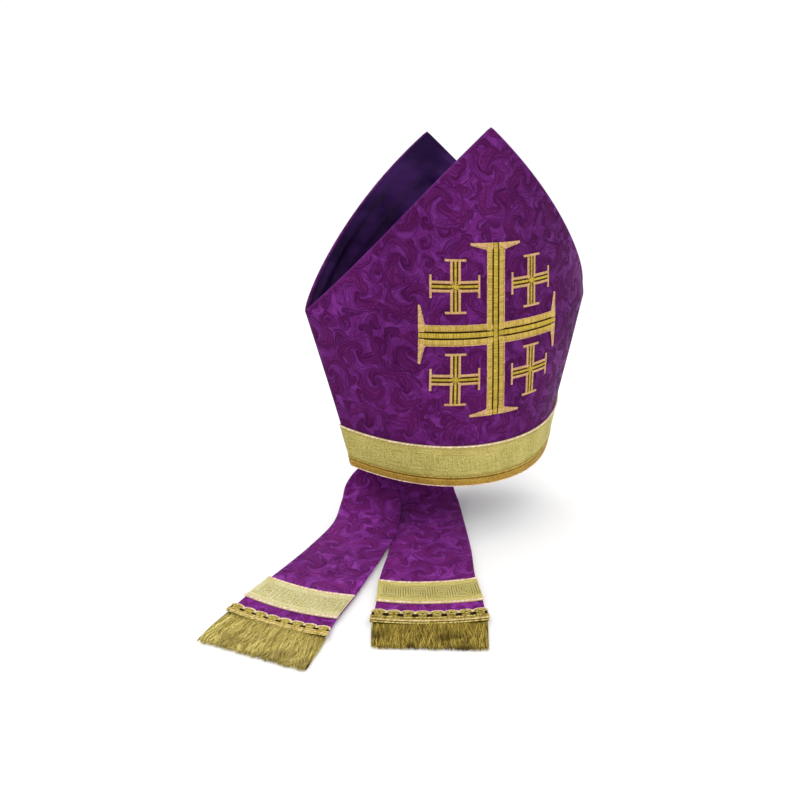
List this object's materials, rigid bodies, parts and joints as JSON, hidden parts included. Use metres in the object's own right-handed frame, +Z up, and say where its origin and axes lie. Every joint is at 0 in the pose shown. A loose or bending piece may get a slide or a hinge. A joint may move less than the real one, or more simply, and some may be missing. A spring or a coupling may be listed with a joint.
{
  "type": "bishop mitre",
  "caption": "Tall two-horned folding ceremonial hat in damask with a galloon band, an embroidered cross and fringed lappets at the back.",
  "frame": {"origin": "middle of the rim, on the level of the rim's lower edge at the front centre, where the hat sits on a head", "axes": "+Z up, -Y the front with the cross, +X the front's right as it is looked at"},
  "size_m": [0.4537, 0.3092, 0.3933],
  "materials": {
    "damask": "purple damask with a soft sheen",
    "lining_satin": "dark violet satin",
    "galloon": "pale gold woven galloon",
    "edging": "orange gold edging",
    "embroidery": "gold satin stitch",
    "fringe": "old gold metallic thread"
  },
  "bodies": {
    "root": {"front_panel": "damask", "back_panel": "damask", "lining_front": "lining_satin", "lining_back": "lining_satin", "crown_gusset": "lining_satin", "galloon_band": "galloon", "rim_edging": "edging", "cross_main": "embroidery", "cross_small_1": "embroidery", "cross_small_2": "embroidery", "cross_small_3": "embroidery", "cross_small_4": "embroidery", "lappet_left": "damask", "lappet_right": "damask", "lappet_galloon_left": "galloon", "lappet_galloon_right": "galloon", "fringe_header_left": "fringe", "fringe_header_right": "fringe", "fringe_left": "fringe", "fringe_right": "fringe"}
  },
  "joints": []
}
